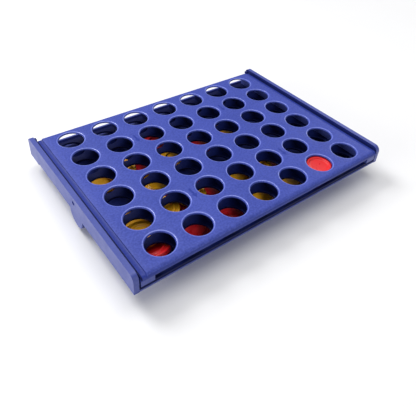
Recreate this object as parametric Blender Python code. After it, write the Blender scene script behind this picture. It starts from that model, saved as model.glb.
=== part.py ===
"""Four in a row frame, folded flat: a double-grid board hinged on its storage tray.

Metres, +Z up. The origin is on the floor, under the middle of the folded frame.
+X runs along the seven columns and +Y from the front edge, which is the top of
the board in play, to the hinge at the back.
"""

import math

import bmesh
import bpy
from mathutils import Matrix, Vector

MM = 0.001
GAP = 0.3 * MM

# Playing grid
COLUMNS = 7
ROWS = 6
COLUMN_PITCH = 35.0 * MM
ROW_PITCH = 31.2 * MM
FRONT_ROW_Y = -79.4 * MM
WINDOW_RADIUS = 11.9 * MM
WINDOW_SIDES = 16
CHANNEL_WIDTH = 31.5 * MM

# Board
BOARD_HALF_WIDTH = 132.6 * MM
BOARD_FRONT = -98.9 * MM
BOARD_BACK = 92.2 * MM
BOARD_TOP = 32.0 * MM
TOP_GRID_UNDERSIDE = 30.2 * MM
BORDER_X = 127.4 * MM
BORDER_TOP = 30.8 * MM
BORDER_UNDERSIDE = 29.4 * MM
BORDER_INNER_X = 125.0 * MM
EDGE_ROUND = 0.5 * MM
FRONT_ROLL = 4.2 * MM
FRONT_NOSE = 0.5 * MM
FRONT_SKIRT_DEPTH = 3.2 * MM
FRONT_SKIRT_UNDERSIDE = 27.3 * MM
BOTTOM_GRID_TOP = 20.4 * MM
BOTTOM_GRID_UNDERSIDE = 18.2 * MM
BOTTOM_GRID_FRONT = -97.0 * MM
BACK_BEVEL = 1.5 * MM
DIVIDER_FRONT = -90.5 * MM
SPACER_FRONT = -97.8 * MM
CORE_BACK = 91.8 * MM

# Hinge
HINGE_Y = 85.9 * MM
HINGE_Z = 23.6 * MM
PIN_RADIUS = 1.8 * MM
PIN_INNER_X = 127.8 * MM
PIN_OUTER_X = 136.4 * MM
PIN_SIDES = 16

# Tray
TRAY_FRONT = -97.7 * MM
TRAY_BACK = 98.9 * MM
WALL_INNER_X = 133.6 * MM
WALL_OUTER_X = 138.0 * MM
WALL_TOP = 34.0 * MM
WALL_FRONT_CORNER = 6.0 * MM
WALL_BACK_CORNER = 4.0 * MM
FLANGE_TOP = 17.7 * MM
FLANGE_UNDERSIDE = 16.0 * MM
FLANGE_BACK = 80.6 * MM
LEDGE_FRONT = 78.8 * MM
LEDGE_TOP = 15.7 * MM
LEDGE_UNDERSIDE = 14.0 * MM
BACK_LIP_FRONT = 97.0 * MM
BACK_LIP_TOP = 20.0 * MM
TUB_THICKNESS = 2.0 * MM
TUB_WALL = 2.4 * MM
TUB_BASE_HALF_WIDTH = 121.5 * MM
TUB_BASE_FRONT = -80.2 * MM
TUB_BASE_BACK = 76.5 * MM
TUB_RIM_HALF_WIDTH = 129.5 * MM
TUB_RIM_FRONT = -93.0 * MM
TUB_RIM_BACK = 80.0 * MM
TUB_CORNER = 9.0 * MM
HUB_Y = -2.5 * MM
HUB_Z = 15.0 * MM
HUB_RADIUS = 11.6 * MM
DIMPLE_Y = 0.0 * MM
DIMPLE_Z = 27.0 * MM
DIMPLE_RADIUS = 2.2 * MM
DIMPLE_DEPTH = 0.8 * MM
STOP_INNER_X = 131.2 * MM
STOP_FRONT = 94.7 * MM
STOP_UNDERSIDE = 28.8 * MM
STOP_TOP = 31.4 * MM

# Screws
SCREW_HEAD_RADIUS = 2.6 * MM
SCREW_SHANK_RADIUS = 1.2 * MM
SCREW_HEAD_HEIGHT = 1.5 * MM
SCREW_LENGTH = 8.0 * MM
SCREW_X = 126.2 * MM
SCREW_YS = (-84.0 * MM, -3.0 * MM, 72.0 * MM)

# Game discs
DISC_RADIUS = 15.5 * MM
DISC_HALF_FLANGE = 2.0 * MM
DISC_HALF_RING = 3.0 * MM
DISC_HALF_WEB = 1.4 * MM
DISC_RING_OUTER = 11.3 * MM
DISC_RING_INNER = 9.5 * MM
DISC_SIDES = 12
CHANNEL_DISC_SIDES = 16
CHANNEL_DISC_Z = TOP_GRID_UNDERSIDE - GAP - DISC_HALF_RING

BLUE = (0.052, 0.078, 0.42)
DEEP_BLUE = (0.035, 0.055, 0.33)
RED = (0.72, 0.02, 0.02)
YELLOW = (0.86, 0.66, 0.02)
STEEL = (0.62, 0.62, 0.64)


def clear_scene():
    """Start from an empty scene."""
    for old in list(bpy.data.objects):
        bpy.data.objects.remove(old, do_unlink=True)


def material(name, colour, roughness, metallic=0.0):
    """One Principled BSDF material."""
    paint = bpy.data.materials.new(name)
    paint.use_nodes = True
    shader = paint.node_tree.nodes["Principled BSDF"]
    shader.inputs["Base Color"].default_value = (*colour, 1.0)
    shader.inputs["Roughness"].default_value = roughness
    shader.inputs["Metallic"].default_value = metallic
    paint.diffuse_color = (*colour, 1.0)
    return paint


def mesh_object(name, shape, paint=None):
    """A bmesh as a named object with its faces pointing outwards."""
    bmesh.ops.remove_doubles(shape, verts=shape.verts[:], dist=1e-6)
    bmesh.ops.recalc_face_normals(shape, faces=shape.faces[:])
    mesh = bpy.data.meshes.new(name)
    shape.to_mesh(mesh)
    shape.free()
    piece = bpy.data.objects.new(name, mesh)
    bpy.context.collection.objects.link(piece)
    if paint:
        mesh.materials.append(paint)
    return piece


def prism(name, outline, axis, start, end, paint=None):
    """Extrude a closed outline along X, Y or Z from start to end."""
    shape = bmesh.new()

    def place(point, along):
        a, b = point
        return {"X": (along, a, b), "Y": (a, along, b), "Z": (a, b, along)}[axis]

    near = [shape.verts.new(place(p, start)) for p in outline]
    far = [shape.verts.new(place(p, end)) for p in outline]
    shape.faces.new(near)
    shape.faces.new(far)
    count = len(outline)
    for i in range(count):
        j = (i + 1) % count
        shape.faces.new((near[i], near[j], far[j], far[i]))
    return mesh_object(name, shape, paint)


def rectangle(low_a, low_b, high_a, high_b):
    """The four corners of a rectangle."""
    return [(low_a, low_b), (high_a, low_b), (high_a, high_b), (low_a, high_b)]


def rounded_rectangle(low_a, low_b, high_a, high_b, radius, steps=4):
    """A rectangle with an arc at each corner."""
    centres = (
        (high_a - radius, low_b + radius, -90.0),
        (high_a - radius, high_b - radius, 0.0),
        (low_a + radius, high_b - radius, 90.0),
        (low_a + radius, low_b + radius, 180.0),
    )
    points = []
    for a, b, first in centres:
        for step in range(steps + 1):
            turn = math.radians(first + 90.0 * step / steps)
            points.append((a + radius * math.cos(turn), b + radius * math.sin(turn)))
    return points


def box(name, low, high, paint=None):
    """An upright box between two corners."""
    outline = rectangle(low[0], low[1], high[0], high[1])
    return prism(name, outline, "Z", low[2], high[2], paint)


def circle(centre_a, centre_b, radius, sides):
    """The corners of a regular polygon round a centre."""
    points = []
    for side in range(sides):
        turn = 2.0 * math.pi * (side + 0.5) / sides
        points.append((centre_a + radius * math.cos(turn), centre_b + radius * math.sin(turn)))
    return points


def turned(name, profile, sides, paint=None):
    """Turn a profile of (radius, height) points about Z; its ends lie on the axis."""
    shape = bmesh.new()
    rings = []
    for radius, height in profile:
        if radius == 0.0:
            rings.append([shape.verts.new((0.0, 0.0, height))])
            continue
        ring = []
        for side in range(sides):
            turn = 2.0 * math.pi * side / sides
            ring.append(shape.verts.new((radius * math.cos(turn), radius * math.sin(turn), height)))
        rings.append(ring)
    for upper, lower in zip(rings, rings[1:]):
        for side in range(sides):
            following = (side + 1) % sides
            corners = [upper[side % len(upper)], upper[following % len(upper)]]
            corners += [lower[following % len(lower)], lower[side % len(lower)]]
            shape.faces.new(list(dict.fromkeys(corners)))
    return mesh_object(name, shape, paint)


def combine(piece, tool, operation):
    """Apply one exact Boolean and remove the tool."""
    step = piece.modifiers.new(operation.title(), "BOOLEAN")
    step.operation = operation
    step.solver = "EXACT"
    step.object = tool
    graph = bpy.context.evaluated_depsgraph_get()
    result = bpy.data.meshes.new_from_object(piece.evaluated_get(graph))
    piece.modifiers.remove(step)
    old = piece.data
    piece.data = result
    bpy.data.meshes.remove(old)
    bpy.data.objects.remove(tool, do_unlink=True)


def smooth(piece, degrees=35.0):
    """Shade curved faces smooth and keep real edges sharp."""
    piece.data.shade_smooth()
    piece.data.set_sharp_from_angle(angle=math.radians(degrees))


def column_x(column):
    """The centre of a column."""
    return (column - (COLUMNS - 1) / 2.0) * COLUMN_PITCH


def row_y(row):
    """The centre of a row, counted from the front."""
    return FRONT_ROW_Y + row * ROW_PITCH


def window_cutter(low, high):
    """All the round windows of one grid as a single cutter."""
    shape = bmesh.new()
    middle = (low + high) / 2.0
    for column in range(COLUMNS):
        for row in range(ROWS):
            place = Matrix.Translation((column_x(column), row_y(row), middle))
            spin = Matrix.Rotation(math.pi / WINDOW_SIDES, 4, "Z")
            bmesh.ops.create_cone(
                shape,
                cap_ends=True,
                segments=WINDOW_SIDES,
                radius1=WINDOW_RADIUS,
                radius2=WINDOW_RADIUS,
                depth=high - low,
                matrix=place @ spin,
            )
    return mesh_object("window_cutter", shape)


def top_grid_section(y):
    """The top grid's outline across X at one place along Y."""
    reach = y - BOARD_FRONT
    rise = 1.0
    if reach < FRONT_ROLL:
        rise = math.sqrt(1.0 - (1.0 - reach / FRONT_ROLL) ** 2)
    nose = FRONT_SKIRT_UNDERSIDE + FRONT_NOSE
    underside = TOP_GRID_UNDERSIDE
    border_underside = BORDER_UNDERSIDE
    if reach <= FRONT_SKIRT_DEPTH:
        underside = FRONT_SKIRT_UNDERSIDE
        border_underside = FRONT_SKIRT_UNDERSIDE
    half = [
        (BORDER_INNER_X, underside),
        (BORDER_INNER_X, border_underside),
        (BOARD_HALF_WIDTH, border_underside),
        (BOARD_HALF_WIDTH, nose + (BORDER_TOP - EDGE_ROUND - nose) * rise),
        (BOARD_HALF_WIDTH - EDGE_ROUND, nose + (BORDER_TOP - nose) * rise),
        (BORDER_X, nose + (BORDER_TOP - nose) * rise),
        (BORDER_X, nose + (BOARD_TOP - nose) * rise),
    ]
    mirrored = [(-x, z) for x, z in reversed(half)]
    return half + mirrored


def make_top_grid(paint):
    """The upper half of the board, with lower side borders and a rolled front edge."""
    steps = 4
    stations = []
    for step in range(steps):
        lean = math.pi / 2.0 * step / steps
        stations.append(BOARD_FRONT + FRONT_ROLL * (1.0 - math.cos(lean)))
    inner_face = BOARD_FRONT + FRONT_SKIRT_DEPTH
    stations = sorted(stations + [inner_face, inner_face + 0.1 * MM, BOARD_FRONT + FRONT_ROLL, BOARD_BACK])
    shape = bmesh.new()
    rings = []
    for y in stations:
        rings.append([shape.verts.new((x, y, z)) for x, z in top_grid_section(y)])
    for near, far in zip(rings, rings[1:]):
        count = len(near)
        for i in range(count):
            j = (i + 1) % count
            shape.faces.new((near[i], near[j], far[j], far[i]))
    shape.faces.new(rings[0])
    shape.faces.new(rings[-1])
    grid = mesh_object("top_grid", shape, paint)
    combine(grid, window_cutter(TOP_GRID_UNDERSIDE - MM, BOARD_TOP + MM), "DIFFERENCE")
    smooth(grid)
    return grid


def make_bottom_grid(paint):
    """The lower half of the board; its back edge is bevelled to clear the ledge."""
    outline = [
        (BOTTOM_GRID_FRONT, BOTTOM_GRID_UNDERSIDE),
        (BOARD_BACK - BACK_BEVEL, BOTTOM_GRID_UNDERSIDE),
        (BOARD_BACK, BOTTOM_GRID_UNDERSIDE + BACK_BEVEL),
        (BOARD_BACK, BOTTOM_GRID_TOP),
        (BOTTOM_GRID_FRONT, BOTTOM_GRID_TOP),
    ]
    grid = prism("bottom_grid", outline, "X", -BOARD_HALF_WIDTH, BOARD_HALF_WIDTH, paint)
    combine(grid, window_cutter(BOTTOM_GRID_UNDERSIDE - MM, BOTTOM_GRID_TOP + MM), "DIFFERENCE")
    for x, y in screw_places():
        combine(grid, screw_hole(x, y), "DIFFERENCE")
    smooth(grid)
    return grid


def spacer_outline():
    """The side view of an end spacer, stepped under the front skirt."""
    low = BOTTOM_GRID_TOP + GAP
    high = BORDER_UNDERSIDE - GAP
    step_y = BOARD_FRONT + FRONT_SKIRT_DEPTH + 0.1 * MM + GAP
    step_z = FRONT_SKIRT_UNDERSIDE - GAP
    return [
        (SPACER_FRONT, low),
        (CORE_BACK, low),
        (CORE_BACK, high),
        (step_y, high),
        (step_y, step_z),
        (SPACER_FRONT, step_z),
    ]


def make_dividers(paint):
    """The thin walls between neighbouring disc channels."""
    half = (COLUMN_PITCH - CHANNEL_WIDTH) / 2.0
    low = BOTTOM_GRID_TOP + GAP
    outline = rectangle(DIVIDER_FRONT, low, CORE_BACK, TOP_GRID_UNDERSIDE - GAP)
    for number in range(1, COLUMNS):
        x = (column_x(number - 1) + column_x(number)) / 2.0
        prism(f"column_divider_{number}", outline, "X", x - half, x + half, paint)


def make_end_spacer(side, sign, paint):
    """The wide wall at one end of the board, which holds the screws and a hinge pin."""
    inner = column_x(COLUMNS - 1) + CHANNEL_WIDTH / 2.0
    outer = BOARD_HALF_WIDTH - GAP
    span = sorted((sign * inner, sign * outer))
    outline = spacer_outline()
    spacer = prism(f"end_spacer_{side}", outline, "X", span[0], span[1], paint)
    hole = circle(HINGE_Y, HINGE_Z, PIN_RADIUS + GAP, PIN_SIDES)
    span = sorted((sign * (PIN_INNER_X - GAP), sign * (outer + MM)))
    combine(spacer, prism("pin_cutter", hole, "X", span[0], span[1]), "DIFFERENCE")
    for x, y in screw_places():
        if x * sign > 0.0:
            combine(spacer, screw_hole(x, y), "DIFFERENCE")


def make_hinge_pin(side, sign, paint):
    """The pin pressed into the end spacer, which turns in the tray's side wall."""
    outline = circle(0.0, 0.0, PIN_RADIUS, PIN_SIDES)
    length = PIN_OUTER_X - PIN_INNER_X
    pin = prism(f"hinge_pin_{side}", outline, "X", -length / 2.0, length / 2.0, paint)
    pin.location = (sign * (PIN_INNER_X + PIN_OUTER_X) / 2.0, HINGE_Y, HINGE_Z)
    smooth(pin)


def screw_places():
    """Where the screws stand, three along each end spacer."""
    return [(sign * SCREW_X, y) for sign in (-1.0, 1.0) for y in SCREW_YS]


def screw_profile(clearance):
    """A countersunk screw's half outline from its tip at the top to its head."""
    head = SCREW_HEAD_RADIUS + clearance
    shank = SCREW_SHANK_RADIUS + clearance
    tip = SCREW_LENGTH + clearance
    return [(0.0, tip), (shank, tip), (shank, SCREW_HEAD_HEIGHT), (head, 0.0)]


def screw_hole(x, y):
    """A cutter that leaves clearance round a screw."""
    profile = screw_profile(GAP)
    flare = SCREW_HEAD_RADIUS + GAP
    cutter = turned("screw_cutter", profile + [(flare, -MM), (0.0, -MM)], 10)
    cutter.location = (x, y, BOTTOM_GRID_UNDERSIDE)
    bpy.context.view_layer.update()
    return cutter


def make_screws(paint):
    """The countersunk screws that clamp the two grids to the end spacers."""
    for number, (x, y) in enumerate(screw_places(), start=1):
        screw = turned(f"grid_screw_{number}", screw_profile(0.0) + [(0.0, 0.0)], 10, paint)
        screw.location = (x, y, BOTTOM_GRID_UNDERSIDE + 0.1 * MM)
        smooth(screw)


def wall_outline():
    """The side view of a tray wall: rounded top corners, a hub below, a deeper back."""
    points = [(TRAY_FRONT, FLANGE_UNDERSIDE)]
    drop = FLANGE_UNDERSIDE - HUB_Z
    reach = math.sqrt(HUB_RADIUS**2 - drop**2)
    steps = 8
    last = math.atan2(drop, reach)
    first = -math.pi - last
    for step in range(steps + 1):
        turn = first + (last - first) * step / steps
        points.append((HUB_Y + HUB_RADIUS * math.cos(turn), HUB_Z + HUB_RADIUS * math.sin(turn)))
    points.append((LEDGE_FRONT, FLANGE_UNDERSIDE))
    points.append((LEDGE_FRONT, LEDGE_UNDERSIDE))
    points.append((TRAY_BACK, LEDGE_UNDERSIDE))
    corners = (
        (TRAY_BACK - WALL_BACK_CORNER, WALL_BACK_CORNER, 0.0),
        (TRAY_FRONT + WALL_FRONT_CORNER, WALL_FRONT_CORNER, 90.0),
    )
    for y, radius, start in corners:
        for step in range(5):
            turn = math.radians(start + 90.0 * step / 4)
            points.append((y + radius * math.cos(turn), WALL_TOP - radius + radius * math.sin(turn)))
    return points


def tub_outline(height, inset):
    """The tub's rounded outline at one height, moved inwards by inset."""
    share = height / FLANGE_UNDERSIDE
    half = TUB_BASE_HALF_WIDTH + (TUB_RIM_HALF_WIDTH - TUB_BASE_HALF_WIDTH) * share - inset
    front = TUB_BASE_FRONT + (TUB_RIM_FRONT - TUB_BASE_FRONT) * share + inset
    back = TUB_BASE_BACK + (TUB_RIM_BACK - TUB_BASE_BACK) * share - inset
    return rounded_rectangle(-half, front, half, back, TUB_CORNER - inset)


def tub_solid(name, low, high, inset):
    """The tapered solid between two heights of the tub."""
    shape = bmesh.new()
    lower = [shape.verts.new((x, y, low)) for x, y in tub_outline(low, inset)]
    upper = [shape.verts.new((x, y, high)) for x, y in tub_outline(high, inset)]
    shape.faces.new(lower)
    shape.faces.new(upper)
    count = len(lower)
    for i in range(count):
        j = (i + 1) % count
        shape.faces.new((lower[i], lower[j], upper[j], upper[i]))
    return mesh_object(name, shape)


def make_tray(paint):
    """The storage tray: tub, flange, back ledge and the two side walls, one moulding."""
    half = (WALL_INNER_X + WALL_OUTER_X) / 2.0
    flange = rectangle(-half, TRAY_FRONT, half, FLANGE_BACK)
    tray = prism("tray", flange, "Z", FLANGE_UNDERSIDE, FLANGE_TOP, paint)
    combine(tray, tub_solid("tub", 0.0, FLANGE_UNDERSIDE + GAP, 0.0), "UNION")
    low = (-half, LEDGE_FRONT, LEDGE_UNDERSIDE)
    combine(tray, box("ledge", low, (half, TRAY_BACK, LEDGE_TOP)), "UNION")
    low = (-half, BACK_LIP_FRONT, LEDGE_UNDERSIDE)
    combine(tray, box("back_lip", low, (half, TRAY_BACK, BACK_LIP_TOP)), "UNION")
    for sign in (-1.0, 1.0):
        span = sorted((sign * WALL_INNER_X, sign * WALL_OUTER_X))
        combine(tray, prism("wall", wall_outline(), "X", span[0], span[1]), "UNION")
        span = sorted((sign * STOP_INNER_X, sign * half))
        low = (span[0], STOP_FRONT, STOP_UNDERSIDE)
        high = (span[1], TRAY_BACK - MM, STOP_TOP)
        combine(tray, box("stop", low, high), "UNION")
    combine(tray, tub_solid("hollow", TUB_THICKNESS, FLANGE_TOP + GAP, TUB_WALL), "DIFFERENCE")
    for sign in (-1.0, 1.0):
        socket = circle(HINGE_Y, HINGE_Z, PIN_RADIUS + GAP, PIN_SIDES)
        span = sorted((sign * (WALL_INNER_X - MM), sign * (PIN_OUTER_X + GAP)))
        combine(tray, prism("socket", socket, "X", span[0], span[1]), "DIFFERENCE")
        dimple = circle(DIMPLE_Y, DIMPLE_Z, DIMPLE_RADIUS, 16)
        span = sorted((sign * (WALL_OUTER_X - DIMPLE_DEPTH), sign * (WALL_OUTER_X + MM)))
        combine(tray, prism("dimple", dimple, "X", span[0], span[1]), "DIFFERENCE")
    smooth(tray)


def disc_profile():
    """Half the outline of a game disc: flat flange, raised ring and sunk middle."""
    upper = [
        (0.0, DISC_HALF_WEB),
        (DISC_RING_INNER, DISC_HALF_WEB),
        (DISC_RING_INNER, DISC_HALF_RING),
        (DISC_RING_OUTER, DISC_HALF_RING),
        (DISC_RADIUS, DISC_HALF_FLANGE),
    ]
    return upper + [(radius, -height) for radius, height in reversed(upper)]


def make_disc(name, paint, place, tilt=0.0, heading=0.0, sides=DISC_SIDES):
    """One game disc, tipped by tilt so that its low side points along heading."""
    disc = turned(name, disc_profile(), sides, paint)
    swing = Matrix.Rotation(math.radians(heading), 4, "Z")
    lean = Matrix.Rotation(math.radians(tilt), 4, "Y")
    disc.matrix_world = Matrix.Translation(Vector(place)) @ swing @ lean
    smooth(disc)
    return disc


def disc_half_height(tilt):
    """Half the height that a tipped disc takes up."""
    lean = math.radians(tilt)
    rim = DISC_RADIUS * math.sin(lean) + DISC_HALF_FLANGE * math.cos(lean)
    ring = DISC_RING_OUTER * math.sin(lean) + DISC_HALF_RING * math.cos(lean)
    return max(rim, ring)


def make_stored_discs(red, yellow):
    """The discs left in the tub: layer, x, y, tilt and heading, in millimetres and degrees."""
    paints = {"red": red, "yellow": yellow}
    stored = {
        "red": (
            (0, -105.0, -67.0, 27.5, 90.0),
            (0, -60.0, -62.0, 0.0, 0.0),
            (0, -22.0, -64.0, 8.0, 60.0),
            (0, -57.0, -28.0, 0.0, 0.0),
            (0, -20.0, -31.0, 0.0, 0.0),
            (0, 53.0, -31.0, 0.0, 0.0),
            (0, -56.0, 34.0, 0.0, 0.0),
            (0, 16.0, 34.0, 0.0, 0.0),
            (0, -21.0, 58.0, 0.0, 0.0),
        ),
        "yellow": (
            (0, -98.0, -31.0, 0.0, 0.0),
            (1, -103.0, -49.5, 8.0, 90.0),
            (0, 14.0, -65.0, 9.0, 120.0),
            (0, 52.0, -64.0, 0.0, 0.0),
            (1, -43.0, -30.0, 5.0, 20.0),
            (1, -74.5, -34.5, 4.0, 200.0),
            (0, 15.0, -32.0, 0.0, 0.0),
            (1, 34.0, -36.0, 4.0, 340.0),
            (0, -54.0, 3.0, 0.0, 0.0),
            (0, -98.0, 33.0, 0.0, 0.0),
            (1, -78.0, 34.0, 3.0, 30.0),
            (0, -20.0, 26.0, 0.0, 0.0),
            (0, 52.0, 34.0, 0.0, 0.0),
        ),
    }
    layer_height = 2.0 * DISC_HALF_RING + GAP
    for colour, discs in stored.items():
        for number, (layer, x, y, tilt, heading) in enumerate(discs, start=1):
            z = TUB_THICKNESS + GAP + layer * layer_height + disc_half_height(tilt)
            place = (x * MM, y * MM, z)
            make_disc(f"disc_{colour}_{number}", paints[colour], place, tilt, heading)


def make_channel_disc(paint):
    """The disc inside the sixth channel, under its front window."""
    place = (column_x(5), row_y(0), CHANNEL_DISC_Z)
    make_disc("disc_in_channel", paint, place, sides=CHANNEL_DISC_SIDES)


def main():
    clear_scene()
    make_top_grid(material("top_grid_blue", BLUE, 0.42))
    make_bottom_grid(material("bottom_grid_blue", DEEP_BLUE, 0.45))
    core = material("core_blue", DEEP_BLUE, 0.45)
    make_dividers(core)
    steel = material("pin_steel", STEEL, 0.3, 1.0)
    for side, sign in (("left", -1.0), ("right", 1.0)):
        make_end_spacer(side, sign, core)
        make_hinge_pin(side, sign, steel)
    make_screws(material("screw_steel", STEEL, 0.35, 1.0))
    make_tray(material("tray_blue", BLUE, 0.4))
    red = material("disc_red", RED, 0.35)
    make_stored_discs(red, material("disc_yellow", YELLOW, 0.35))
    make_channel_disc(red)


main()
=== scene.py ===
"""The looks of the folding four in a row frame: skins, materials, floor, light and camera."""

import math

import bmesh
import bpy
import numpy as np
from mathutils import Matrix, Vector


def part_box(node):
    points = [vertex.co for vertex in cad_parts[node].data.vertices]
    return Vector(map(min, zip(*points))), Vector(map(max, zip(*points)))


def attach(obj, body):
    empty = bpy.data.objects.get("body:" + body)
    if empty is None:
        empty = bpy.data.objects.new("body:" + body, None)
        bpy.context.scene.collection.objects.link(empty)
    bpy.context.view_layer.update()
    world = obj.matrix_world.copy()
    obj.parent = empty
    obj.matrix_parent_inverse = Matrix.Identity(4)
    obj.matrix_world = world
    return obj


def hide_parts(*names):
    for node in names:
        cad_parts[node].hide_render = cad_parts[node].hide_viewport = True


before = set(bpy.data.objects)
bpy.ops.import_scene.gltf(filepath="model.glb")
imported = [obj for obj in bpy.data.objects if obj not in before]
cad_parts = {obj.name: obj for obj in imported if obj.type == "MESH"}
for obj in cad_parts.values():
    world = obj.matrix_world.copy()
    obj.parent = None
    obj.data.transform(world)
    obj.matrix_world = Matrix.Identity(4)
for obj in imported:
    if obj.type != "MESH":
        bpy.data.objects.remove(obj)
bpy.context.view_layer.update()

MM = 0.001
COLUMNS = 7
ROWS = 6
COLUMN_PITCH = 35.0 * MM
ROW_PITCH = 31.2 * MM
FRONT_ROW_Y = -79.4 * MM
WINDOW_RADIUS = 11.9 * MM
RIM_ROUND = 1.5 * MM
FRONT_ROLL = 4.2 * MM
SKIRT_DEPTH = 3.2 * MM
WALL_INNER_X = 133.6 * MM
TRAY_JOIN_X = 135.8 * MM
EAR_Y = -2.5 * MM
EAR_Z = 15.0 * MM
EAR_RADIUS = 11.6 * MM
DIMPLE_Z = 27.0 * MM
DIMPLE_RADIUS = 2.2 * MM
DIMPLE_DEPTH = 0.8 * MM
STOP_INNER_X = 131.2 * MM
STOP_OUTER_X = 135.0 * MM
STOP_SIDE = ((94.7, 28.8), (97.9, 28.8), (97.9, 31.4), (94.7, 31.4))
FLANGE_UNDERSIDE = 16.0 * MM
FLANGE_BACK = 80.3 * MM
FLANGE_CORNER = 1.0 * MM
TUB_BASE_ROUND = 2.0 * MM
LEDGE_FRONT = 78.8 * MM
LEDGE_UNDERSIDE = 14.0 * MM
LEDGE_TOP = 15.7 * MM
LIP_FRONT = 97.0 * MM
LIP_TOP = 20.0 * MM
# Heights with the inset and the corner radius of the tub, or the growth of the flange, in mm.
TUB_OUTSIDE = ((15.4, 0.3, 8.7), (16.0, 0.0, 9.0))
FLANGE_EDGE = (
    (16.0, -0.2),
    (16.15, -0.12),
    (16.5, 0.0),
    (17.2, 0.0),
    (17.55, -0.15),
    (17.7, -0.5),
)
TUB_INSIDE = (
    (17.7, 1.6, 8.0),
    (17.2, 2.2, 7.0),
    (3.2, 2.4, 6.6),
    (2.35, 2.9, 6.0),
    (2.0, 4.0, 5.0),
)
# Arrow middles, and the outline of one round its middle, in mm.
ARROW_PLACES = ((-52.5, -48.2), (-52.5, 45.4), (52.5, -48.2), (52.5, 45.4))
ARROW_SIDE = (
    (-1.0, 6.0),
    (1.0, 6.0),
    (1.0, -1.5),
    (2.7, -1.5),
    (0.0, -6.0),
    (-2.7, -1.5),
    (-1.0, -1.5),
)

TOP_LOW, TOP_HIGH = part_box("top_grid")
BOTTOM_LOW, BOTTOM_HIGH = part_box("bottom_grid")
TRAY_LOW, TRAY_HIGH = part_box("tray")


# ---------------------------------------------------------------- materials

def shader_material(name, roughness):
    """A new node material with its Principled shader and its object coordinates."""
    paint = bpy.data.materials.new(name)
    paint.use_nodes = True
    tree = paint.node_tree
    shader = tree.nodes["Principled BSDF"]
    shader.inputs["Roughness"].default_value = roughness
    where = tree.nodes.new("ShaderNodeTexCoord")
    return paint, tree, shader, where.outputs["Object"]


def noise(tree, where, scale, detail=3.0, roughness=0.5):
    """A noise texture in object space; scale is in features per metre."""
    node = tree.nodes.new("ShaderNodeTexNoise")
    node.inputs["Scale"].default_value = scale
    node.inputs["Detail"].default_value = detail
    node.inputs["Roughness"].default_value = roughness
    tree.links.new(where, node.inputs["Vector"])
    return node.outputs["Fac"]


def ramp(tree, value, stops):
    """A colour ramp with (position, colour) stops."""
    node = tree.nodes.new("ShaderNodeValToRGB")
    node.color_ramp.elements[0].position = stops[0][0]
    node.color_ramp.elements[0].color = (*stops[0][1], 1.0)
    node.color_ramp.elements[1].position = stops[-1][0]
    node.color_ramp.elements[1].color = (*stops[-1][1], 1.0)
    for position, colour in stops[1:-1]:
        element = node.color_ramp.elements.new(position)
        element.color = (*colour, 1.0)
    tree.links.new(value, node.inputs["Fac"])
    return node.outputs["Color"]


def remap(tree, value, low, high, to_low, to_high):
    """A value mapped from one range to another and clamped."""
    node = tree.nodes.new("ShaderNodeMapRange")
    node.inputs["From Min"].default_value = low
    node.inputs["From Max"].default_value = high
    node.inputs["To Min"].default_value = to_low
    node.inputs["To Max"].default_value = to_high
    tree.links.new(value, node.inputs["Value"])
    return node.outputs["Result"]


def bump(tree, height, strength, distance, before=None):
    """A bump of a height field, on top of another bump if there is one."""
    node = tree.nodes.new("ShaderNodeBump")
    node.inputs["Strength"].default_value = strength
    node.inputs["Distance"].default_value = distance
    tree.links.new(height, node.inputs["Height"])
    if before is not None:
        tree.links.new(before, node.inputs["Normal"])
    return node.outputs["Normal"]


def scratches(tree, where, turn):
    """Fine scattered scratches: a noise stretched along one direction, thinned by another."""
    mapping = tree.nodes.new("ShaderNodeMapping")
    mapping.inputs["Rotation"].default_value = (0.0, 0.0, turn)
    mapping.inputs["Scale"].default_value = (1.0, 26.0, 26.0)
    tree.links.new(where, mapping.inputs["Vector"])
    line = noise(tree, mapping.outputs["Vector"], 45.0, detail=2.0)
    return remap(tree, line, 0.66, 0.72, 0.0, 1.0)


def blue_plastic(name, dark, light, roughness, grain, shine):
    """Injection moulded polystyrene: slight cloudiness, fine grain, handling scratches."""
    paint, tree, shader, where = shader_material(name, roughness)
    cloud = noise(tree, where, 22.0, detail=4.0, roughness=0.6)
    speckle = remap(tree, noise(tree, where, 620.0, detail=2.0), 0.3, 0.7, -0.5, 0.5)
    mottle = tree.nodes.new("ShaderNodeMath")
    tree.links.new(cloud, mottle.inputs[0])
    tree.links.new(speckle, mottle.inputs[1])
    colour = ramp(tree, mottle.outputs[0], ((0.1, dark), (0.9, light)))
    tree.links.new(colour, shader.inputs["Base Color"])
    smear = noise(tree, where, 60.0, detail=5.0, roughness=0.65)
    worn = remap(tree, smear, 0.3, 0.75, roughness - 0.06, roughness + 0.1)
    tree.links.new(worn, shader.inputs["Roughness"])
    fine = bump(tree, noise(tree, where, 700.0, detail=2.0), grain, 0.0002)
    marks = bump(tree, scratches(tree, where, 0.6), 0.10, 0.00005, fine)
    wave = bump(tree, noise(tree, where, 30.0, detail=1.0), 0.10, 0.0008, marks)
    tree.links.new(wave, shader.inputs["Normal"])
    shader.inputs["Specular IOR Level"].default_value = shine
    return paint


def disc_plastic(name, dark, light):
    """Glossy moulded disc: faint flow clouds, rubbed patches and tiny scratches."""
    paint, tree, shader, where = shader_material(name, 0.3)
    cloud = noise(tree, where, 55.0, detail=3.0)
    colour = ramp(tree, cloud, ((0.3, dark), (0.7, light)))
    tree.links.new(colour, shader.inputs["Base Color"])
    worn = remap(tree, noise(tree, where, 130.0, detail=5.0), 0.3, 0.75, 0.24, 0.42)
    tree.links.new(worn, shader.inputs["Roughness"])
    fine = bump(tree, noise(tree, where, 1100.0, detail=2.0), 0.12, 0.0001)
    marks = bump(tree, scratches(tree, where, 1.9), 0.12, 0.00004, fine)
    tree.links.new(marks, shader.inputs["Normal"])
    shader.inputs["Subsurface Weight"].default_value = 0.06
    shader.inputs["Subsurface Radius"].default_value = (0.002, 0.001, 0.0006)
    return paint


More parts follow.
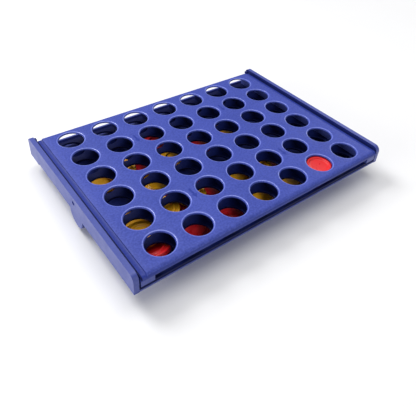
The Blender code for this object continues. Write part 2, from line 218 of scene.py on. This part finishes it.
def steel(name, roughness):
    """Turned steel with a fine mottled tone, fine bumps and a little dullness."""
    paint, tree, shader, where = shader_material(name, roughness)
    cloud = noise(tree, where, 400.0, detail=4.0)
    colour = ramp(tree, cloud, ((0.3, (0.42, 0.42, 0.44)), (0.7, (0.66, 0.66, 0.68))))
    tree.links.new(colour, shader.inputs["Base Color"])
    worn = remap(tree, noise(tree, where, 900.0), 0.3, 0.7, roughness - 0.08, roughness + 0.15)
    tree.links.new(worn, shader.inputs["Roughness"])
    fine = bump(tree, noise(tree, where, 2500.0), 0.15, 0.00005)
    tree.links.new(fine, shader.inputs["Normal"])
    shader.inputs["Metallic"].default_value = 1.0
    return paint


# ---------------------------------------------------------------- mesh tools

def new_piece(name, shape, paint, angle=35.0):
    """A bmesh as a smooth-shaded object with sharp edges kept."""
    bmesh.ops.recalc_face_normals(shape, faces=shape.faces[:])
    mesh = bpy.data.meshes.new(name)
    shape.to_mesh(mesh)
    shape.free()
    mesh.materials.append(paint)
    mesh.shade_smooth()
    mesh.set_sharp_from_angle(angle=math.radians(angle))
    piece = bpy.data.objects.new(name, mesh)
    bpy.context.collection.objects.link(piece)
    return piece


def stand_for(piece, body, slot, *nodes):
    """A finished piece rides on its body and replaces its CAD nodes."""
    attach(piece, body)
    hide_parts(*nodes)
    return piece


def prism_shape(outline, axis, start, end):
    """A closed outline extruded along X, Y or Z, as a bmesh."""
    shape = bmesh.new()

    def place(point, along):
        a, b = point
        return {"X": (along, a, b), "Y": (a, along, b), "Z": (a, b, along)}[axis]

    near = [shape.verts.new(place(p, start)) for p in outline]
    far = [shape.verts.new(place(p, end)) for p in outline]
    shape.faces.new(near)
    shape.faces.new(far)
    count = len(outline)
    for i in range(count):
        j = (i + 1) % count
        shape.faces.new((near[i], near[j], far[j], far[i]))
    return shape


def bevel_sharp(shape, width, segments=3, degrees=30.0):
    """Round every edge of a bmesh that turns by more than an angle."""
    limit = math.radians(degrees)
    edges = [e for e in shape.edges if e.is_manifold and e.calc_face_angle(0.0) > limit]
    bmesh.ops.bevel(
        shape,
        geom=edges,
        offset=width,
        offset_type="OFFSET",
        segments=segments,
        profile=0.5,
        affect="EDGES",
        clamp_overlap=True,
    )


# ---------------------------------------------------------------- grids

def window_angles():
    """The directions of a window's points, with one at each corner of its cell."""
    corner = math.atan2(ROW_PITCH, COLUMN_PITCH)
    steps = 7
    quarter = [corner * k / steps for k in range(steps)]
    quarter += [corner + (math.pi / 2.0 - corner) * k / steps for k in range(steps)]
    half = quarter + [math.pi / 2.0] + [math.pi - t for t in reversed(quarter[1:])]
    return half + [t + math.pi for t in half]


def cell_point(turn):
    """Where a ray from a cell's centre meets the cell's edge."""
    reach_x = COLUMN_PITCH / 2.0 / max(abs(math.cos(turn)), 1e-9)
    reach_y = ROW_PITCH / 2.0 / max(abs(math.sin(turn)), 1e-9)
    reach = min(reach_x, reach_y)
    return reach * math.cos(turn), reach * math.sin(turn)


class GridSkin:
    """A plate with rounded windows: matching upper and lower surfaces, joined all round."""

    def __init__(self, side, front, back_y, rim_round, low_round):
        self.shape = bmesh.new()
        self.side = side
        self.front = front
        self.back_y = back_y
        self.rim_round = rim_round
        self.low_round = low_round
        self.found = {}
        self.turns = window_angles()
        points = [cell_point(t) for t in self.turns]
        self.cell_xs = sorted({round(x, 7) for x, y in points})
        self.cell_ys = sorted({round(y, 7) for x, y in points})

    def vertex(self, upper, x, y, z):
        """The vertex at a place, made once."""
        key = (upper, round(x, 6), round(y, 6), round(z, 6))
        if key not in self.found:
            self.found[key] = self.shape.verts.new((x, y, z))
        return self.found[key]

    def face(self, corners):
        """A face from corners, without repeats."""
        corners = list(dict.fromkeys(corners))
        if len(corners) > 2:
            self.shape.faces.new(corners)

    def cell(self, column, row, high, low):
        """One window and the flat plate round it, above and below."""
        middle_x = (column - (COLUMNS - 1) / 2.0) * COLUMN_PITCH
        middle_y = FRONT_ROW_Y + row * ROW_PITCH
        count = len(self.turns)
        loops = []
        edge = [cell_point(t) for t in self.turns]
        loops.append([self.vertex(True, middle_x + x, middle_y + y, high) for x, y in edge])
        profile = []
        steps = 5
        for step in range(steps + 1):
            lean = math.pi / 2.0 * step / steps
            radius = WINDOW_RADIUS + self.rim_round * (1.0 - math.sin(lean))
            profile.append((radius, high - self.rim_round * (1.0 - math.cos(lean))))
        profile.append((WINDOW_RADIUS, low + self.low_round))
        profile.append((WINDOW_RADIUS + self.low_round, low))
        for radius, z in profile:
            ring = []
            for turn in self.turns:
                x = middle_x + radius * math.cos(turn)
                y = middle_y + radius * math.sin(turn)
                ring.append(self.shape.verts.new((x, y, z)))
            loops.append(ring)
        loops.append([self.vertex(False, middle_x + x, middle_y + y, low) for x, y in edge])
        for one, two in zip(loops, loops[1:]):
            for i in range(count):
                j = (i + 1) % count
                self.face((one[i], one[j], two[j], two[i]))

    def patch(self, xs, ys):
        """The upper and lower tensor surfaces over two lists of stations."""
        for xa, xb in zip(xs, xs[1:]):
            for ya, yb in zip(ys, ys[1:]):
                corners = ((xa, ya), (xb, ya), (xb, yb), (xa, yb))
                self.face([self.top_vertex(x, y) for x, y in corners])
                self.face([self.low_vertex(x, y) for x, y in corners])

    def top_vertex(self, x, y):
        """The upper vertex at a side station and a front station."""
        nose = self.front[0][1]
        z = nose + (x[1] - nose) * y[4]
        return self.vertex(True, x[0], y[0], z)

    def low_vertex(self, x, y):
        """The lower vertex at a side station and a front station."""
        return self.vertex(False, x[2], y[2], min(x[3], y[3]))

    def build(self, high, low):
        """The whole plate."""
        for column in range(COLUMNS):
            for row in range(ROWS):
                self.cell(column, row, high, low)
        half = COLUMNS * COLUMN_PITCH / 2.0
        right = [(half, high, half, low)] + self.side
        left = [(-a, b, -c, d) for a, b, c, d in reversed(right)]
        inner_x = []
        for column in range(COLUMNS):
            middle = (column - (COLUMNS - 1) / 2.0) * COLUMN_PITCH
            inner_x += [(middle + x, high, middle + x, low) for x in self.cell_xs]
        inner_x = unique_stations(inner_x)
        inner_y = []
        for row in range(ROWS):
            middle = FRONT_ROW_Y + row * ROW_PITCH
            inner_y += [(middle + y, high, middle + y, low, 1.0) for y in self.cell_ys]
        inner_y = unique_stations(inner_y)
        start = FRONT_ROW_Y - ROW_PITCH / 2.0
        front = self.front + [(start, high, start, low, 1.0)]
        end = inner_y[-1][0]
        rear = []
        if self.back_y - end > 1e-6:
            rear = [(self.back_y, high, self.back_y, low, 1.0)]
        all_x = left[:-1] + inner_x + right[1:]
        all_y = front[:-1] + inner_y + rear
        self.patch(all_x, front)
        self.patch(left, inner_y + rear)
        self.patch(right, inner_y + rear)
        if rear:
            self.patch(inner_x, [inner_y[-1]] + rear)
        self.rim(all_x, all_y)
        return self.shape

    def rim(self, all_x, all_y):
        """The outer edge band between the upper and the lower surface."""
        for xa, xb in zip(all_x, all_x[1:]):
            for y in (all_y[0], all_y[-1]):
                self.band(xa, y, xb, y)
        for ya, yb in zip(all_y, all_y[1:]):
            for x in (all_x[0], all_x[-1]):
                self.band(x, ya, x, yb)

    def band(self, xa, ya, xb, yb):
        """One face of the outer edge band."""
        self.face(
            (
                self.top_vertex(xa, ya),
                self.top_vertex(xb, yb),
                self.low_vertex(xb, yb),
                self.low_vertex(xa, ya),
            )
        )


def unique_stations(stations):
    """Stations without repeats, in order."""
    kept = []
    for station in sorted(stations):
        if not kept or station[0] - kept[-1][0] > 1e-6:
            kept.append(station)
    return kept


def make_top_grid(paint, border_shade_paint, rim_highlight_paint, shade_paint):
    """The upper half of the board: rounded windows, lower borders, rolled front edge."""
    half = TOP_HIGH.x
    high = TOP_HIGH.z
    under = high - 1.8 * MM
    border_under = under - 0.8 * MM
    border = high - 1.2 * MM
    riser = half - 5.2 * MM
    # Stations from the last column outwards: upper X, upper Z, lower X, lower Z.
    side = [
        (riser - 0.5 * MM, high, half - 8.0 * MM, under),
        (riser - 0.16 * MM, high - 0.05 * MM, half - 7.7 * MM, under),
        (riser, high - 0.22 * MM, half - 7.6 * MM, under),
        (riser + 0.05 * MM, border + 0.3 * MM, half - 7.6 * MM, border_under),
        (riser + 0.15 * MM, border + 0.08 * MM, half - 6.5 * MM, border_under),
        (riser + 0.45 * MM, border, half - 5.0 * MM, border_under),
        (half - 1.3 * MM, border, half - 3.0 * MM, border_under),
        (half - 0.9 * MM, border + 0.12 * MM, half - 1.6 * MM, border_under),
        (half - 0.5 * MM, border + 0.12 * MM, half - 0.8 * MM, border_under),
        (half - 0.12 * MM, border - 0.1 * MM, half - 0.3 * MM, border_under),
        (half, border - 0.45 * MM, half, border_under),
    ]
    # Stations of the rolled front: upper Y, nose Z, lower Y, lower Z, share of the full height.
    nose = TOP_LOW.z + 0.5 * MM
    front = []
    steps = 8
    low_ys = [0.0, 0.8, 1.6, 2.4, 2.9, 3.2, 3.2, 3.4]
    for step in range(steps):
        lean = math.pi / 2.0 * step / steps
        reach = FRONT_ROLL * (1.0 - math.cos(lean))
        low_y = TOP_LOW.y + low_ys[step] * MM
        low_z = TOP_LOW.z if step < 6 else under
        front.append((TOP_LOW.y + reach, nose, low_y, low_z, math.sin(lean)))
    skin = GridSkin(side, front, TOP_HIGH.y, RIM_ROUND, 0.25 * MM)
    shape = skin.build(high, under)
    piece = new_piece("top_grid_skin", shape, paint, 50.0)
    piece.data.materials.append(border_shade_paint)
    piece.data.materials.append(rim_highlight_paint)
    piece.data.materials.append(shade_paint)
    for face in piece.data.polygons:
        middle = face.center
        # Painted shadow: a strip along each side edge, beside the gap to the tray wall, gets the
        # near-black paint.
        if abs(middle.x) > half - 1.2 * MM and face.normal.z > 0.2:
            face.material_index = 3
        # Painted shade: the raised side borders and the front edge get the darker border paint.
        elif abs(middle.x) > riser or middle.y < TOP_LOW.y + 0.6 * MM:
            face.material_index = 1
        # Painted highlight: the small faces of the rounded window rims get the lighter rim paint.
        elif middle.z > high - 0.45 * MM and face.area < 1.5e-6 and face.normal.z < 0.998:
            if abs(middle.x) < 122.0 * MM and middle.y > FRONT_ROW_Y - 14.0 * MM:
                face.material_index = 2
    return stand_for(piece, "board", "top_grid", "top_grid")


def make_arrows(paint):
    """Four shallow arrows on the panel that point to the front edge."""
    for x, y in ARROW_PLACES:
        outline = [((x + a) * MM, (y + b) * MM) for a, b in ARROW_SIDE]
        shape = prism_shape(outline, "Z", TOP_HIGH.z - 0.2 * MM, TOP_HIGH.z + 0.03 * MM)
        arrow = new_piece(f"arrow_{x:.0f}_{y:.0f}", shape, paint)
        stand_for(arrow, "board", "top_grid", "top_grid")


def make_bottom_grid(paint, under_paint):
    """The lower half of the board."""
    half = BOTTOM_HIGH.x
    high = BOTTOM_HIGH.z
    low = BOTTOM_LOW.z
    side = [
        (half - 0.6 * MM, high, half - 0.6 * MM, low),
        (half - 0.15 * MM, high - 0.1 * MM, half - 0.15 * MM, low),
        (half, high - 0.5 * MM, half, low + 0.3 * MM),
    ]
    y = BOTTOM_LOW.y
    front = [
        (y, high - 0.8 * MM, y, low + 0.3 * MM, 0.0),
        (y + 0.12 * MM, high - 0.8 * MM, y + 0.15 * MM, low, 0.7),
        (y + 0.5 * MM, high - 0.8 * MM, y + 0.6 * MM, low, 1.0),
    ]
    skin = GridSkin(side, front, BOTTOM_HIGH.y, 0.5 * MM, 0.3 * MM)
    piece = new_piece("bottom_grid_skin", skin.build(high, low), paint, 50.0)
    # The plate is near-black as painted shade; its underside keeps the plain tray blue.
    piece.data.materials.append(under_paint)
    for face in piece.data.polygons:
        if face.normal.z < -0.3:
            face.material_index = 1
    return stand_for(piece, "board", "bottom_grid", "bottom_grid")


# ---------------------------------------------------------------- walls of the board

def core_shape(node, rounding):
    """A wall between the grids, from its CAD box, with rounded edges."""
    low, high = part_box(node)
    step_y = max(low.y, TOP_LOW.y + SKIRT_DEPTH + 0.4 * MM)
    step_z = TOP_LOW.z - 0.3 * MM
    outline = [
        (low.y, low.z),
        (high.y, low.z),
        (high.y, high.z),
        (step_y, high.z),
    ]
    if step_y > low.y:
        outline += [(step_y, step_z), (low.y, step_z)]
    shape = prism_shape(outline, "X", low.x, high.x)
    bevel_sharp(shape, rounding)
    return shape


def make_core(paint, end_paint):
    """The dividers and the end spacers."""
    # The dividers get the near-black paint as painted shade; the end spacers keep the plain tray
    # blue.
    for number in range(1, COLUMNS):
        node = f"column_divider_{number}"
        piece = new_piece(node + "_skin", core_shape(node, 0.4 * MM), paint)
        stand_for(piece, "board", "channel_walls", node)
    for side in ("left", "right"):
        node = f"end_spacer_{side}"
        piece = new_piece(node + "_skin", core_shape(node, 1.1 * MM), end_paint)
        stand_for(piece, "board", "channel_walls", node)


# ---------------------------------------------------------------- discs

def disc_profile():
    """Half a disc's outline, from the middle of its face to its edge."""
    return [
        (0.0, 1.35),
        (7.2, 1.35),
        (8.6, 1.45),
        (9.35, 1.8),
        (9.6, 2.6),
        (9.85, 2.93),
        (10.2, 3.0),
        (10.9, 3.0),
        (11.2, 2.9),
        (11.4, 2.6),
        (11.55, 2.1),
        (11.9, 1.8),
        (12.6, 1.72),
        (13.6, 1.75),
        (14.0, 1.9),
        (14.25, 2.1),
        (14.6, 2.2),
        (15.05, 2.12),
        (15.35, 1.85),
        (15.5, 1.4),
        (15.5, 0.25),
        (15.42, 0.0),
    ]


def disc_mesh(name, paint):
    """A finely turned disc with its axis along Z."""
    half = disc_profile()
    profile = half + [(r, -z) for r, z in reversed(half[:-1])]
    sides = 72
    shape = bmesh.new()
    rings = []
    for radius, height in profile:
        if radius == 0.0:
            rings.append([shape.verts.new((0.0, 0.0, height * MM))])
            continue
        ring = []
        for side in range(sides):
            turn = 2.0 * math.pi * side / sides
            x = radius * MM * math.cos(turn)
            y = radius * MM * math.sin(turn)
            ring.append(shape.verts.new((x, y, height * MM)))
        rings.append(ring)
    for upper, lower in zip(rings, rings[1:]):
        for side in range(sides):
            following = (side + 1) % sides
            corners = [upper[side % len(upper)], upper[following % len(upper)]]
            corners += [lower[following % len(lower)], lower[side % len(lower)]]
            shape.faces.new(list(dict.fromkeys(corners)))
    bmesh.ops.recalc_face_normals(shape, faces=shape.faces[:])
    mesh = bpy.data.meshes.new(name)
    shape.to_mesh(mesh)
    shape.free()
    mesh.materials.append(paint)
    mesh.shade_smooth()
    mesh.set_sharp_from_angle(angle=math.radians(50.0))
    return mesh


def disc_place(node):
    """The pose of a CAD disc: its middle, and its axis from the thin way through it."""
    points = np.array([v.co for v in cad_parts[node].data.vertices], float)
    middle = (points.max(0) + points.min(0)) / 2.0
    around = points - points.mean(0)
    axis = Vector(np.linalg.svd(around, full_matrices=False)[2][2])
    if axis.z < 0.0:
        axis.negate()
    turn = Vector((0.0, 0.0, 1.0)).rotation_difference(axis)
    return Matrix.Translation(middle) @ turn.to_matrix().to_4x4()


def make_discs(red, shaded_red, yellow):
    """Every disc; those in the channel and in the front window are the bright red ones, and the
    other red discs get a darker red as painted shade.
    """
    bright = disc_mesh("red_disc", red)
    meshes = {
        "red": disc_mesh("stored_red_disc", shaded_red),
        "yellow": disc_mesh("yellow_disc", yellow),
    }
    for node in sorted(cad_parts):
        if not node.startswith("disc_"):
            continue
        colour = "yellow" if node.startswith("disc_yellow") else "red"
        mesh = bright if node in ("disc_in_channel", "disc_red_1") else meshes[colour]
        piece = bpy.data.objects.new(node + "_skin", mesh)
        bpy.context.collection.objects.link(piece)
        piece.matrix_world = disc_place(node)
        body = "channel_disc" if node == "disc_in_channel" else "tray"
        stand_for(piece, body, colour + "_disc", node)


# ---------------------------------------------------------------- tray

def wall_outline(low_y, high_y, high_z):
    """The side view of a tray wall with its round ear, from the tray's box."""
    points = [(low_y, FLANGE_UNDERSIDE)]
    drop = FLANGE_UNDERSIDE - EAR_Z
    reach = math.sqrt(EAR_RADIUS**2 - drop**2)
    last = math.atan2(drop, reach)
    first = -math.pi - last
    steps = 20
    for step in range(steps + 1):
        turn = first + (last - first) * step / steps
        points.append((EAR_Y + EAR_RADIUS * math.cos(turn), EAR_Z + EAR_RADIUS * math.sin(turn)))
    points.append((LEDGE_FRONT, FLANGE_UNDERSIDE))
    points.append((LEDGE_FRONT, LEDGE_UNDERSIDE))
    points.append((high_y, LEDGE_UNDERSIDE))
    back_corner = (high_y - 4.0 * MM, 4.0 * MM, 0.0)
    front_corner = (low_y + 6.0 * MM, 6.0 * MM, 90.0)
    for y, radius, start in (back_corner, front_corner):
        for step in range(9):
            turn = math.radians(start + 90.0 * step / 8)
            points.append((y + radius * math.cos(turn), high_z - radius + radius * math.sin(turn)))
    return points


def dimple_outline(count):
    """The round outline of the dimple in each wall, seen from the side."""
    around = [2.0 * math.pi * k / count for k in range(count)]
    return [
        (DIMPLE_RADIUS * math.cos(t), DIMPLE_Z + DIMPLE_RADIUS * math.sin(t)) for t in around
    ]


def cut_away(piece, shape):
    """Cut a closed shape out of a piece."""
    bmesh.ops.recalc_face_normals(shape, faces=shape.faces[:])
    mesh = bpy.data.meshes.new("cutter")
    shape.to_mesh(mesh)
    shape.free()
    cutter = bpy.data.objects.new("cutter", mesh)
    bpy.context.collection.objects.link(cutter)
    change = piece.modifiers.new("cut", "BOOLEAN")
    change.operation = "DIFFERENCE"
    change.solver = "EXACT"
    change.object = cutter
    bpy.context.view_layer.update()
    seen = piece.evaluated_get(bpy.context.evaluated_depsgraph_get())
    done = bpy.data.meshes.new_from_object(seen)
    piece.modifiers.clear()
    piece.data = done
    bpy.data.objects.remove(cutter)


def rounded_rectangle(low_a, low_b, high_a, high_b, radius, steps=8):
    """A rectangle with an arc at each corner."""
    centres = (
        (high_a - radius, low_b + radius, -90.0),
        (high_a - radius, high_b - radius, 0.0),
        (low_a + radius, high_b - radius, 90.0),
        (low_a + radius, low_b + radius, 180.0),
    )
    points = []
    for a, b, first in centres:
        for step in range(steps + 1):
            turn = math.radians(first + 90.0 * step / steps)
            points.append((a + radius * math.cos(turn), b + radius * math.sin(turn)))
    return points


def tub_loop(shape, height, inset, radius):
    """One loop of the tapered tub at a height, moved inwards by inset."""
    share = height / FLANGE_UNDERSIDE
    half = (121.5 + 8.0 * share) * MM - inset
    front = (-80.2 - 12.8 * share) * MM + inset
    back = (76.5 + 3.5 * share) * MM - inset
    outline = rounded_rectangle(-half, front, half, back, radius)
    return [shape.verts.new((x, y, height)) for x, y in outline]


def flange_loop(shape, height, grow):
    """One loop of the flange's edge at a height, moved outwards by grow."""
    low_x = -TRAY_JOIN_X - grow
    high_x = TRAY_JOIN_X + grow
    low_y = TRAY_LOW.y - grow
    high_y = FLANGE_BACK + grow
    outline = rounded_rectangle(low_x, low_y, high_x, high_y, FLANGE_CORNER)
    return [shape.verts.new((x, y, height)) for x, y in outline]


def make_tray_side(side, sign, paint, tray_shade_paint):
    """One side wall with its dimple, and the stop for the upright board behind it."""
    outline = wall_outline(TRAY_LOW.y, TRAY_HIGH.y, TRAY_HIGH.z)
    span = sorted((sign * WALL_INNER_X, sign * TRAY_HIGH.x))
    shape = prism_shape(outline, "X", span[0], span[1])
    bevel_sharp(shape, 0.9 * MM, segments=4, degrees=50.0)
    wall = new_piece(f"tray_wall_{side}", shape, paint)
    span = sorted((sign * (TRAY_HIGH.x - DIMPLE_DEPTH), sign * (TRAY_HIGH.x + MM)))
    cut_away(wall, prism_shape(dimple_outline(32), "X", span[0], span[1]))
    # The faces that look inwards get the dark paint as painted shade.
    wall.data.materials.append(tray_shade_paint)
    for face in wall.data.polygons:
        if face.normal.x * sign < -0.6:
            face.material_index = 1
    stand_for(wall, "tray", "tray", "tray")
    span = sorted((sign * STOP_INNER_X, sign * STOP_OUTER_X))
    shape = prism_shape([(y * MM, z * MM) for y, z in STOP_SIDE], "X", span[0], span[1])
    bevel_sharp(shape, 0.4 * MM)
    # The stop is painted dark as shade too.
    stop = new_piece(f"tray_stop_{side}", shape, tray_shade_paint)
    stand_for(stop, "tray", "tray", "tray")


def make_tray_tub(paint, tray_shade_paint):
    """The tub and the flange round it, as one skin lofted from outside to inside."""
    shape = bmesh.new()
    loops = [tub_loop(shape, 0.0, TUB_BASE_ROUND, 7.0 * MM)]
    for step in range(1, 5):
        lean = math.pi / 2.0 * step / 4
        height = TUB_BASE_ROUND * (1.0 - math.cos(lean))
        inset = TUB_BASE_ROUND * (1.0 - math.sin(lean))
        loops.append(tub_loop(shape, height, inset, 9.0 * MM - inset))
    for height, inset, radius in TUB_OUTSIDE:
        loops.append(tub_loop(shape, height * MM, inset * MM, radius * MM))
    for height, grow in FLANGE_EDGE:
        loops.append(flange_loop(shape, height * MM, grow * MM))
    for height, inset, radius in TUB_INSIDE:
        loops.append(tub_loop(shape, height * MM, inset * MM, radius * MM))
    for one, two in zip(loops, loops[1:]):
        count = len(one)
        for i in range(count):
            j = (i + 1) % count
            shape.faces.new((one[i], one[j], two[j], two[i]))
    shape.faces.new(loops[0])
    shape.faces.new(loops[-1])
    tub = new_piece("tray_tub", shape, paint, 40.0)
    # Upward faces inside the tub and on the flange get the dark paint as painted shade, except along
    # the front edge of the flange.
    tub.data.materials.append(tray_shade_paint)
    for face in tub.data.polygons:
        if face.normal.z > 0.05 and face.center.y > TRAY_LOW.y + 0.8 * MM:
            face.material_index = 1
    stand_for(tub, "tray", "tray", "tray")


def make_tray_ledge(paint):
    """The ledge at the back with its raised lip."""
    back = [
        (LEDGE_FRONT, LEDGE_UNDERSIDE),
        (TRAY_HIGH.y, LEDGE_UNDERSIDE),
        (TRAY_HIGH.y, LIP_TOP),
        (LIP_FRONT, LIP_TOP),
        (LIP_FRONT, LEDGE_TOP),
        (LEDGE_FRONT, LEDGE_TOP),
    ]
    shape = prism_shape(back, "X", -TRAY_JOIN_X, TRAY_JOIN_X)
    bevel_sharp(shape, 0.45 * MM)
    ledge = new_piece("tray_back_ledge", shape, paint)
    stand_for(ledge, "tray", "tray", "tray")


# ---------------------------------------------------------------- stage

def make_stage():
    """A pale floor, and soft light from above and the sides."""
    shape = bmesh.new()
    bmesh.ops.create_grid(shape, x_segments=1, y_segments=1, size=30.0)
    paint, tree, shader, where = shader_material("pale_floor", 0.6)
    greys = ((0.3, (0.83, 0.83, 0.84)), (0.7, (0.86, 0.86, 0.87)))
    colour = ramp(tree, noise(tree, where, 2.0), greys)
    tree.links.new(colour, shader.inputs["Base Color"])
    floor = new_piece("floor", shape, paint)
    floor.location.z = -0.0002
    world = bpy.data.worlds.new("studio")
    bpy.context.scene.world = world
    world.use_nodes = True
    background = world.node_tree.nodes["Background"]
    background.inputs["Color"].default_value = (1.0, 1.0, 1.0, 1.0)
    background.inputs["Strength"].default_value = 0.32
    add_light("key", (-0.4, 1.0, 1.2), 0.7, 17.0)
    add_light("left", (-1.4, 0.0, 0.4), 0.7, 8.0)
    add_light("right", (1.4, 0.4, 0.6), 0.7, 2.5)
    add_light("front", (0.5, -1.3, 0.45), 0.8, 3.0)
    add_light("top", (0.2, 0.1, 1.6), 1.0, 10.0)
    bpy.context.scene.view_settings.view_transform = "Standard"


def add_light(name, place, size, power):
    """A square area light that points at the middle of the frame."""
    light = bpy.data.lights.new(name, "AREA")
    light.size = size
    light.energy = power
    lamp = bpy.data.objects.new(name, light)
    bpy.context.collection.objects.link(lamp)
    lamp.location = place
    aim = Vector((0.0, 0.0, 0.02)) - Vector(place)
    lamp.rotation_euler = aim.to_track_quat("-Z", "Y").to_euler()


def make_camera():
    """The camera at the photograph's angle."""
    data = bpy.data.cameras.new("camera")
    data.sensor_width = 36.0
    data.lens = 40.0975
    data.shift_y = -0.1394
    camera = bpy.data.objects.new("camera", data)
    bpy.context.collection.objects.link(camera)
    right = Vector((0.79545, -0.60351, 0.05512))
    up = Vector((0.3268, 0.50378, 0.79963))
    back = right.cross(up)
    turn = Matrix((right, up, back)).transposed().to_4x4()
    camera.matrix_world = Matrix.Translation((-0.2290, -0.2777, 0.2935)) @ turn
    bpy.context.scene.camera = camera


# ---------------------------------------------------------------- assembly

panel_blue = blue_plastic(
    "panel_blue", (0.034, 0.054, 0.300), (0.054, 0.080, 0.400), roughness=0.46, grain=1.0, shine=0.28
)
# Painted shade: a darker, smoother copy of the panel blue for the raised side borders and the front
# edge; the arrows use it for their own darker tone.
border_shade_and_arrow_blue = blue_plastic(
    "border_shade_and_arrow_blue", (0.018, 0.034, 0.25), (0.026, 0.046, 0.29), roughness=0.36, grain=0.2, shine=0.25
)
# Painted highlight: a lighter, glossier copy of the panel blue on the rounded window rims.
rim_highlight_blue = blue_plastic(
    "rim_highlight_blue", (0.11, 0.15, 0.55), (0.15, 0.19, 0.62), roughness=0.25, grain=0.1, shine=0.6
)
# Painted shade: a dark copy of the tray blue for the inside of the tub, the inner faces of the side
# walls and the stops.
tray_shade_blue = blue_plastic(
    "tray_shade_blue", (0.010, 0.017, 0.12), (0.014, 0.023, 0.15), roughness=0.4, grain=0.2, shine=0.12
)
# Painted shade: a near-black copy of the blue for the bottom grid, the dividers and the strip along
# the board's side edges.
inner_shade_blue = blue_plastic(
    "inner_shade_blue", (0.003, 0.006, 0.055), (0.006, 0.011, 0.078), roughness=0.36, grain=0.2, shine=0.10
)
tray_blue = blue_plastic(
    "tray_blue", (0.050, 0.070, 0.30), (0.062, 0.084, 0.34), roughness=0.36, grain=0.25, shine=0.4
)
disc_red = disc_plastic("disc_red", (0.66, 0.008, 0.012), (0.74, 0.014, 0.018))
# Painted shade: a darker copy of the red for the red discs lying in the tray.
shaded_red = disc_plastic("shaded_red", (0.44, 0.006, 0.012), (0.52, 0.010, 0.016))
disc_yellow = disc_plastic("disc_yellow", (0.66, 0.31, 0.006), (0.74, 0.38, 0.011))
pin_steel = steel("pin_steel", 0.3)
screw_steel = steel("screw_steel", 0.36)

make_top_grid(panel_blue, border_shade_and_arrow_blue, rim_highlight_blue, inner_shade_blue)
make_arrows(border_shade_and_arrow_blue)
make_bottom_grid(inner_shade_blue, tray_blue)
make_core(inner_shade_blue, tray_blue)
make_discs(disc_red, shaded_red, disc_yellow)
make_tray_side("left", -1.0, tray_blue, tray_shade_blue)
make_tray_side("right", 1.0, tray_blue, tray_shade_blue)
make_tray_tub(tray_blue, tray_shade_blue)
make_tray_ledge(tray_blue)
for node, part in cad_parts.items():
    if node.startswith("hinge_pin"):
        part.data.materials[0] = pin_steel
    if node.startswith("grid_screw"):
        part.data.materials[0] = screw_steel
make_stage()
make_camera()
